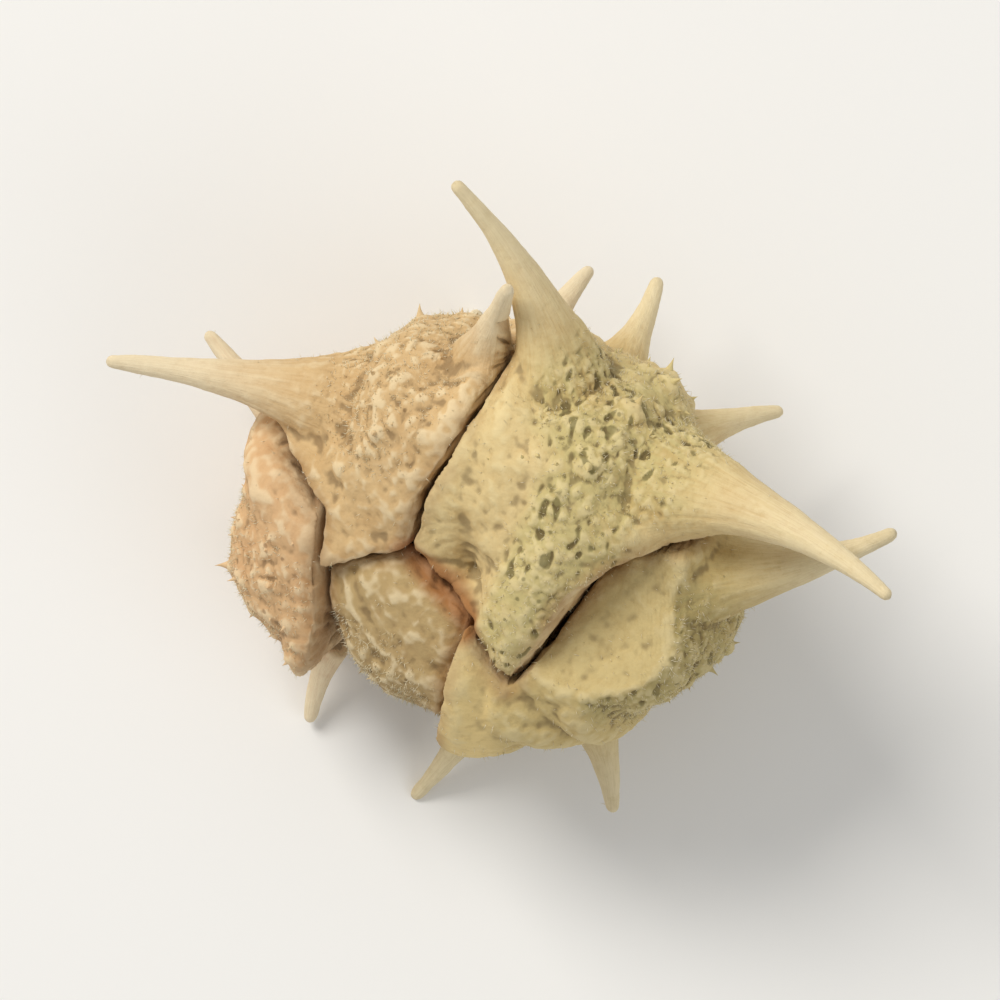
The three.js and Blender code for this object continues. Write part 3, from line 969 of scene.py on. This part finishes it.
def model_thorn():
    """A cone that is flared below and bent at the end."""
    thorn = add_cone(THORN_SIDES)
    for step in range(1, THORN_RINGS):
        bpy.ops.object.mode_set(mode="EDIT")
        bpy.ops.mesh.select_all(action="SELECT")
        bpy.ops.mesh.bisect(plane_co=(0, 0, step / THORN_RINGS), plane_no=(0, 0, 1))
        bpy.ops.object.mode_set(mode="OBJECT")
    places = places_of(thorn)
    z = places[:, 2]
    places[:, :2] *= (THORN_WAIST + (1 - THORN_WAIST) * (1 - z) ** 2)[:, None]
    places[:, 0] += THORN_BEND * z ** 2
    move_to(thorn, places)
    return thorn


def copies_of(model, feet, directions, radius, height, name):
    """One mesh with a copy of the model on each foot, along its own direction."""
    shape = places_of(model)
    spin = np.array([random.uniform(0, 2 * math.pi) for _ in feet])
    spun = np.stack([np.cos(spin), np.sin(spin), np.full(len(spin), SPIN_TILT)], axis=1)
    aside = np.cross(directions, spun)
    aside /= np.linalg.norm(aside, axis=1, keepdims=True)
    beside = np.cross(directions, aside)
    x, y, z = (shape[None, :, axis, None] for axis in range(3))
    places = feet[:, None, :] + radius[:, None, None] * (x * aside[:, None, :] + y * beside[:, None, :])
    places += height[:, None, None] * z * directions[:, None, :]
    faces = []
    for copy in range(len(feet)):
        for face in model.data.polygons:
            faces.append([corner + copy * len(shape) for corner in face.vertices])
    mesh = bpy.data.meshes.new(name)
    mesh.from_pydata(places.reshape(-1, 3).tolist(), [], faces)
    piece = linked(name, mesh)
    only(piece)
    bpy.ops.object.shade_smooth()
    return piece


def plant_thorns(thorn, nutlet, body):
    """A thorn on each tooth and wart that isn't on a spine, and small ones between them."""
    where = body["where"]
    feet, size, tooth = body["stands"]
    tree = tree_of(body["places"])
    spots = np.array([tree.find(foot)[1] for foot in feet])
    free = where["spine"][spots] < BARE_SPINE
    spots, size, tooth = spots[free], size[free], tooth[free]
    weights = (where["back"] + OFF_BACK) * (1 - where["spine"]) * (1 - where["wall"])
    extra = np.array(random.choices(range(len(weights)), weights=weights.clip(0), k=SMALL_THORNS))
    chosen = np.concatenate([spots, extra])
    directions = body["normals"][chosen]
    feet = body["places"][chosen] - directions * THORN_SUNK
    small_radius = [random.uniform(*SMALL_RADIUS) for _ in extra]
    small_height = [random.uniform(*SMALL_HEIGHT) for _ in extra]
    radius = np.concatenate([sized(THORN_RADIUS, tooth, size), small_radius])
    height = np.concatenate([sized(THORN_HEIGHT, tooth, size), small_height])
    thorns = copies_of(thorn, feet, directions, radius, height, "thorns")
    for name in KEPT:
        # Thorns count as a little raised, so they get some of the painted highlight of the ridges.
        value = {"back": 1, "hollow": THORN_HOLLOW}.get(name, 0)
        keep_value(thorns, name, np.full(len(thorns.data.vertices), value))
    keep_value(thorns, "fibre", places_of(thorns))
    joined([nutlet, thorns])


random.seed(SEED)
thorn = model_thorn()
for nutlet, body in zip(nutlets, grown):
    plant_thorns(thorn, nutlet, body)
bpy.data.objects.remove(thorn)

# %% [markdown]
# ## Down on the skin
#
# Between the thorns the back is dull with short stiff hairs. They are far too many to copy as
# objects, so one three-sided sliver is modelled and its copies are written into a single mesh for
# each nutlet. They stand densest on the back, thin out over the walls and leave the spines bare.

# %% Grow the hairs
HAIRS = 1700
HAIR_SIDES = 3
HAIR_RADIUS = 0.008
HAIR_HEIGHT = (0.05, 0.14)
HAIR_LEAN = 0.45
HAIR_SUNK = 0.01
HAIRS_OFF_BACK = 0.12
HAIRLESS = {"spine": 0.93, "wall": 0.9}


def grow_hairs(hair, body, name):
    """Hairs on one nutlet, as one mesh."""
    where = body["where"]
    weights = HAIRS_OFF_BACK + where["back"]
    for region, share in HAIRLESS.items():
        weights = weights * (1 - share * where[region])
    spots = np.array(random.choices(range(len(weights)), weights=weights.clip(0), k=HAIRS))
    lean = np.array([[random.gauss(0, HAIR_LEAN) for _ in range(3)] for _ in spots])
    directions = body["normals"][spots] + lean
    directions /= np.linalg.norm(directions, axis=1, keepdims=True)
    height = np.array([random.uniform(*HAIR_HEIGHT) for _ in spots])
    feet = body["places"][spots] - HAIR_SUNK * directions
    return copies_of(hair, feet, directions, np.full(len(spots), HAIR_RADIUS), height, name)


hair = add_cone(HAIR_SIDES)
down = []
for index, body in enumerate(grown):
    down.append(grow_hairs(hair, body, f"nutlet_{index + 1}_hairs"))
    print(down[-1].name, len(down[-1].data.polygons), "faces")
bpy.data.objects.remove(hair)

# %% [markdown]
# ## Put the burr together
#
# The fruit is laid on its three tips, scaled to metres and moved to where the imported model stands.
# The tips that carry it are worn flat.

# %% Place everything
FLOOR_TRIM = 0.08


def stood(piece):
    return places_of(piece) @ np.array(STAND).T


low = np.min([stood(nutlet).min(axis=0) for nutlet in nutlets], axis=0)
high = np.max([stood(nutlet).max(axis=0) for nutlet in nutlets], axis=0)
middle = (np.array(cad_low) + np.array(cad_high)) / 2 / MM
shift = middle - (low + high) / 2
shift[2] = -low[2] - FLOOR_TRIM
print("burr in mm:", (high - low).round(2), "shifted by", shift.round(3))
for piece in nutlets + down:
    places = stood(piece) + shift
    places[:, 2] = np.maximum(places[:, 2], 0)
    move_to(piece, places * MM)

for index in range(NUTLETS):
    for piece in (nutlets[index], down[index]):
        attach(piece, "root")
    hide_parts(f"nutlet_{index + 1}")

# %% [markdown]
# ## Shared effects
#
# All five nutlets are the same dry skin in different tones, so what makes it is built once, as node
# groups. The helpers below add a node and feed its sockets in one line, so that the groups can be
# read like formulas.


# %% Helpers for nodes
def tone(red, green, blue):
    """A colour picked in everyday screen values from 0 to 255, as the shader wants it."""
    def straight(value):
        value /= 255
        return value / 12.92 if value <= 0.04045 else ((value + 0.055) / 1.055) ** 2.4
    return (straight(red), straight(green), straight(blue), 1)


def feed(tree, socket, value):
    """Give a socket a plain value, or link it to the socket that feeds it."""
    if isinstance(value, bpy.types.NodeSocket):
        tree.links.new(value, socket)
    else:
        socket.default_value = value


def add(tree, kind, inputs=None, **settings):
    """Add a node; an input is a value or the socket that feeds it."""
    made = tree.nodes.new(kind)
    for name, value in settings.items():
        setattr(made, name, value)
    for name, value in (inputs or {}).items():
        feed(tree, made.inputs[name], value)
    return made


def new_group(name, inputs, outputs):
    """A node group with named sockets, its input node and its output node."""
    tree = bpy.data.node_groups.new(name, "ShaderNodeTree")
    for socket, value in inputs.items():
        kind = "NodeSocketColor" if isinstance(value, tuple) else "NodeSocketFloat"
        tree.interface.new_socket(socket, in_out="INPUT", socket_type=kind).default_value = value
    for socket in outputs:
        kind = "NodeSocketColor" if socket == "Color" else "NodeSocketFloat"
        tree.interface.new_socket(socket, in_out="OUTPUT", socket_type=kind)
    return tree, tree.nodes.new("NodeGroupInput").outputs, tree.nodes.new("NodeGroupOutput").inputs


def use(tree, group, **inputs):
    """Place a group in a tree and give back its outputs."""
    made = add(tree, "ShaderNodeGroup", node_tree=group)
    for name, value in inputs.items():
        feed(tree, made.inputs[name], value)
    return made.outputs


def figure(tree, operation, *values):
    """A Math node on two or three values or sockets."""
    made = add(tree, "ShaderNodeMath", operation=operation)
    for socket, value in zip(made.inputs, values):
        feed(tree, socket, value)
    return made.outputs[0]


def times(tree, first, second):
    return figure(tree, "MULTIPLY", first, second)


def larger(tree, first, second):
    return figure(tree, "MAXIMUM", first, second)


def minus(tree, first, second):
    return figure(tree, "SUBTRACT", first, second)


def between(tree, value, low, high):
    """Smoothly from 0 at low to 1 at high."""
    made = add(tree, "ShaderNodeMapRange", {"Value": value, "From Min": low, "From Max": high},
               interpolation_type="SMOOTHSTEP")
    return made.outputs["Result"]


def blended(tree, share, first, second):
    """Two colours mixed by a share from 0 to 1."""
    made = add(tree, "ShaderNodeMix", data_type="RGBA")
    for number, value in ((0, share), (6, first), (7, second)):
        feed(tree, made.inputs[number], value)
    return made.outputs[2]


def stored(tree, name, output="Fac"):
    return add(tree, "ShaderNodeAttribute", attribute_name=name).outputs[output]


def here(tree):
    return add(tree, "ShaderNodeTexCoord").outputs["Object"]


# %% [markdown]
# ## Grain, specks, fibres and hollows
#
# Four effects carry the skin. The grain is a noise. The specks are the cells of a pattern, of which
# only a share is dark, with ragged edges. The fibres are a noise on the stored fibre directions, so
# that it is drawn out along the spines. The hollows and ridges are read from the stored depth.

# %% The grain, the specks, the fibres and the hollows
NO_DEPTH = 0.002
SPECK_EDGE = {"noise": 9000.0, "ragged": 0.25, "soft": 0.14}


def make_grain():
    tree, given, out = new_group("grain", {"Scale": 3000.0, "Roughness": 0.6}, ["Value"])
    cloud = add(tree, "ShaderNodeTexNoise", {
        "Vector": here(tree), "Scale": given["Scale"], "Detail": 5.0, "Roughness": given["Roughness"]})
    tree.links.new(cloud.outputs[0], out["Value"])
    return tree


def make_specks():
    tree, given, out = new_group("specks", {"Scale": 3000.0, "Size": 0.25, "Share": 0.5}, ["Mask"])
    place = here(tree)
    cells = add(tree, "ShaderNodeTexVoronoi", {"Vector": place, "Scale": given["Scale"], "Randomness": 1.0})
    cell = add(tree, "ShaderNodeSeparateColor", {"Color": cells.outputs["Color"]})
    chosen = figure(tree, "LESS_THAN", cell.outputs[0], given["Share"])
    ragged = add(tree, "ShaderNodeTexNoise", {"Vector": place, "Scale": SPECK_EDGE["noise"], "Detail": 2.0})
    edge = figure(tree, "MULTIPLY_ADD", ragged.outputs[0], SPECK_EDGE["ragged"], cells.outputs["Distance"])
    wide = figure(tree, "ADD", given["Size"], SPECK_EDGE["soft"])
    inside = minus(tree, 1.0, between(tree, edge, given["Size"], wide))
    tree.links.new(times(tree, inside, chosen), out["Mask"])
    return tree


def make_fibres():
    tree, given, out = new_group("fibres", {"Scale": 3.0}, ["Value"])
    along = add(tree, "ShaderNodeTexNoise", {
        "Vector": stored(tree, "fibre", "Vector"), "Scale": given["Scale"], "Detail": 4.0, "Roughness": 0.6})
    tree.links.new(along.outputs[0], out["Value"])
    return tree


def make_hollows():
    tree, given, out = new_group("hollows", {"Depth": 0.02}, ["Hollow", "Ridge"])
    # Hollow carries the painted shade of the creases, and Ridge the painted highlight of the ridges.
    depth = stored(tree, "hollow")
    tree.links.new(between(tree, depth, NO_DEPTH, given["Depth"]), out["Hollow"])
    tree.links.new(between(tree, times(tree, depth, -1.0), NO_DEPTH, given["Depth"]), out["Ridge"])
    return tree


GRAIN, SPECKS, FIBRES, DEPTHS = make_grain(), make_specks(), make_fibres(), make_hollows()
print("groups:", [tree.name for tree in (GRAIN, SPECKS, FIBRES, DEPTHS)])

# %% [markdown]
# ## The dry skin
#
# The colour starts from the tone of the body, and each layer covers a share of what lies below. The
# back is tinted, the walls are paler, and the spines fade to cream at their points. A slow mottle
# drifts between two tones, the grain breaks both up, and the ridges are painted paler, a painted
# highlight. The seams are painted brown, as the painted shade of their valleys, and the crack in the
# middle of the fruit is a rusty brown. The scooped face of nutlet_5 is painted a little paler, painted
# light against the shade in its bowl. Specks, the flecks on the back and painted shade in the creases
# darken it last.

# %% Put the skin together
SKIN_TONES = {
    # The tone of the scooped face is darker here, as painted shade; nutlet_5, the only nutlet with a scooped
    # face, makes it a little paler than its body, as painted light against the shade in the bowl.
    "Body": (214, 184, 132), "Back": (196, 178, 124), "Mottle": (190, 150, 98), "Hollow": (176, 158, 96),
    # The tone at the seams is painted shade of their valleys.
    "Wall": (222, 200, 160), "Tip": (240, 224, 192), "Seam": (150, 108, 62), "Ridge": (228, 202, 140),
    # The dark tone for the creases is painted shade, and the palest tone is a painted highlight on the
    # ridges.
    "Crack": (156, 96, 46), "Shade": (84, 60, 34), "Speck": (96, 88, 52), "Pale": (242, 226, 188),
}


def toned(tones):
    return {name: tone(*values) for name, values in tones.items()}


def make_skin():
    tree, given, out = new_group(
        "dry skin", toned(SKIN_TONES) | {"Specks": 0.5}, ["Color", "Roughness", "Height"])
    back, wall, spine, root = (stored(tree, name) for name in ("back", "wall", "spine", "root"))
    slow = use(tree, GRAIN, Scale=900.0)["Value"]
    fine = use(tree, GRAIN, Scale=5200.0, Roughness=0.7)["Value"]
    streak = use(tree, FIBRES, Scale=3.4)["Value"]
    depths = use(tree, DEPTHS, Depth=0.02)
    specks = use(tree, SPECKS, Scale=3600.0, Size=0.2, Share=given["Specks"])["Mask"]
    small_specks = use(tree, SPECKS, Scale=7200.0, Size=0.16, Share=0.35)["Mask"]
    to_tip = times(tree, spine, between(tree, stored(tree, "along"), 0.3, 0.95))
    fibrous = larger(tree, larger(tree, root, spine), wall)
    fibrous = larger(tree, fibrous, figure(tree, "MULTIPLY_ADD", back, -0.45, 0.5))
    dark_fibre = times(tree, between(tree, streak, 0.58, 0.36), times(tree, fibrous, 0.3))
    # the seam mask, for the painted shade in the seam valleys
    seam = times(tree, stored(tree, "seam"), between(tree, slow, 0.25, 0.6))
    bare = minus(tree, 1.0, times(tree, spine, 0.85))
    marked = larger(tree, times(tree, specks, 0.6), times(tree, small_specks, 0.5))
    marked = times(tree, times(tree, marked, bare), figure(tree, "MULTIPLY_ADD", back, 0.9, 0.05))
    frayed = figure(tree, "MULTIPLY_ADD", fine, 0.5, stored(tree, "fleck"))
    marked = larger(tree, marked, times(tree, between(tree, frayed, 0.4, 1.1), 0.66))
    layers = [
        ("Back", times(tree, back, between(tree, slow, 0.2, 0.5))),
        # the scooped face of nutlet_5, painted a little paler as painted light against the shade in its bowl
        ("Hollow", times(tree, stored(tree, "scooped"), 0.85)),
        ("Mottle", times(tree, between(tree, slow, 0.5, 0.72), 0.5)),
        ("Wall", times(tree, wall, 0.7)),
        ("Ridge", stored(tree, "ridge")),
        ("Tip", times(tree, to_tip, 0.9)),
        ("Mottle", dark_fibre),
        ("Mottle", times(tree, between(tree, fine, 0.52, 0.3), 0.3)),
        # painted highlight: paler on the ridges
        ("Pale", times(tree, depths["Ridge"], 0.45)),
        # painted shade: brown along the seam valleys
        ("Seam", times(tree, seam, 0.6)),
        ("Crack", times(tree, stored(tree, "crack"), 0.75)),
        ("Speck", marked),
        # painted shade: darker in the creases
        ("Shade", times(tree, depths["Hollow"], 0.5)),
    ]
    colour = given["Body"]
    for name, share in layers:
        colour = blended(tree, share, colour, given[name])
    tree.links.new(colour, out["Color"])
    dull = figure(tree, "MULTIPLY_ADD", fine, 0.25, 0.68)
    tree.links.new(minus(tree, dull, times(tree, spine, 0.14)), out["Roughness"])
    height = figure(tree, "MULTIPLY_ADD", streak, times(tree, fibrous, 0.7), fine)
    tree.links.new(minus(tree, height, times(tree, marked, 0.4)), out["Height"])
    return tree


SKIN = make_skin()


def new_material(name):
    """A material, its node tree and its shader."""
    material = bpy.data.materials.new(name)
    material.use_nodes = True
    return material, material.node_tree, material.node_tree.nodes["Principled BSDF"]


def skin_material(name, specks, **tones):
    material, tree, shader = new_material(name)
    skin = use(tree, SKIN, Specks=specks, **toned(SKIN_TONES | tones))
    tree.links.new(skin["Color"], shader.inputs["Base Color"])
    tree.links.new(skin["Roughness"], shader.inputs["Roughness"])
    uneven = add(tree, "ShaderNodeBump", {"Height": skin["Height"], "Strength": 0.7, "Distance": 0.00004})
    tree.links.new(uneven.outputs["Normal"], shader.inputs["Normal"])
    shader.inputs["Specular IOR Level"].default_value = 0.3
    return material


SKINS = [
    skin_material("green_skin", 0.5, Body=(220, 196, 142), Back=(200, 184, 126), Mottle=(194, 160, 100),
                  Speck=(100, 92, 50), Pale=(232, 214, 164)),
    skin_material("straw_skin", 0.45, Body=(212, 180, 130), Back=(206, 174, 126), Mottle=(192, 154, 102),
                  Speck=(118, 90, 52)),
    skin_material("ochre_skin", 0.3, Body=(214, 176, 130), Back=(210, 172, 126), Mottle=(196, 148, 102),
                  Speck=(124, 90, 60)),
    skin_material("tan_skin", 0.3, Body=(184, 158, 110), Back=(178, 152, 106), Mottle=(164, 132, 86),
                  Speck=(100, 78, 48)),
    # The scooped face is a little paler than the body, painted light against the shade in the bowl.
    skin_material("olive_skin", 0.6, Body=(200, 178, 122), Back=(176, 160, 106), Mottle=(174, 146, 88),
                  Hollow=(204, 184, 130), Speck=(88, 78, 42), Pale=(218, 202, 156)),
]
for nutlet, material in zip(nutlets, SKINS):
    nutlet.data.materials.clear()
    nutlet.data.materials.append(material)

# %% [markdown]
# ## The down
#
# The hairs are the palest thing on the back, almost colourless. Their tone drifts slowly over the
# nutlet, so that the fuzz is not one even grey, and it stays rough and without gloss.


# %% Colour the hairs
def hair_material():
    material, tree, shader = new_material("hairs")
    slow = use(tree, GRAIN, Scale=1500.0)["Value"]
    colour = blended(tree, between(tree, slow, 0.35, 0.65), tone(214, 200, 158), tone(238, 228, 198))
    tree.links.new(colour, shader.inputs["Base Color"])
    shader.inputs["Roughness"].default_value = 0.7
    return material


HAIR = hair_material()
for piece in down:
    piece.data.materials.append(HAIR)

# %% [markdown]
# ## Floor, light and camera
#
# The burr lies on a pale floor in soft studio light, a large lamp from the upper left of the picture
# and a weaker one from the lower right. The camera looks straight down on it from far away through
# a long lens, because the photograph shows it from above with next to no perspective.

# %% Stage
FLOOR_SIZE = 0.6
CAMERA_HEIGHT = 0.3
SHOWN_WIDTH = 0.0178
SENSOR = 36
SKY_LIGHT = 0.48


def add_floor():
    bpy.ops.mesh.primitive_plane_add(size=FLOOR_SIZE)
    floor = bpy.context.object
    floor.name = "floor"
    material, _, shader = new_material("floor_paper")
    shader.inputs["Base Color"].default_value = tone(239, 238, 235)
    shader.inputs["Roughness"].default_value = 0.9
    floor.data.materials.append(material)
    floor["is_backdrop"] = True


def add_lamp(name, place, size, power, colour):
    data = bpy.data.lights.new(name, "AREA")
    data.size = size
    data.energy = power
    data.color = colour
    lamp = linked(name, data)
    lamp.location = place
    lamp.rotation_euler = Vector(place).to_track_quat("Z", "Y").to_euler()


add_floor()
add_lamp("key", (-0.11, 0.12, 0.17), 0.1, 0.39, (1, 0.97, 0.92))
add_lamp("fill", (0.14, -0.1, 0.12), 0.14, 0.07, (0.94, 0.97, 1))
world = bpy.data.worlds.new("studio")
world.use_nodes = True
world.node_tree.nodes["Background"].inputs["Color"].default_value = (1, 1, 1, 1)
world.node_tree.nodes["Background"].inputs["Strength"].default_value = SKY_LIGHT
bpy.context.scene.world = world
bpy.context.scene.view_settings.view_transform = "Standard"

lens = bpy.data.cameras.new("camera")
lens.sensor_width = SENSOR
lens.lens = SENSOR * CAMERA_HEIGHT / SHOWN_WIDTH
lens.clip_start = 0.01
camera = linked("camera", lens)
camera.location = (0, 0, CAMERA_HEIGHT)
bpy.context.scene.camera = camera

# %% [markdown]
# ## Measure
#
# At last the box of the finished burr is measured and written down beside the one of the packed
# model, because both should be the same.

# %% Measure
low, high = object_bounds()
print("visual box in mm:", [round(1000 * (b - a), 2) for a, b in zip(low, high)])
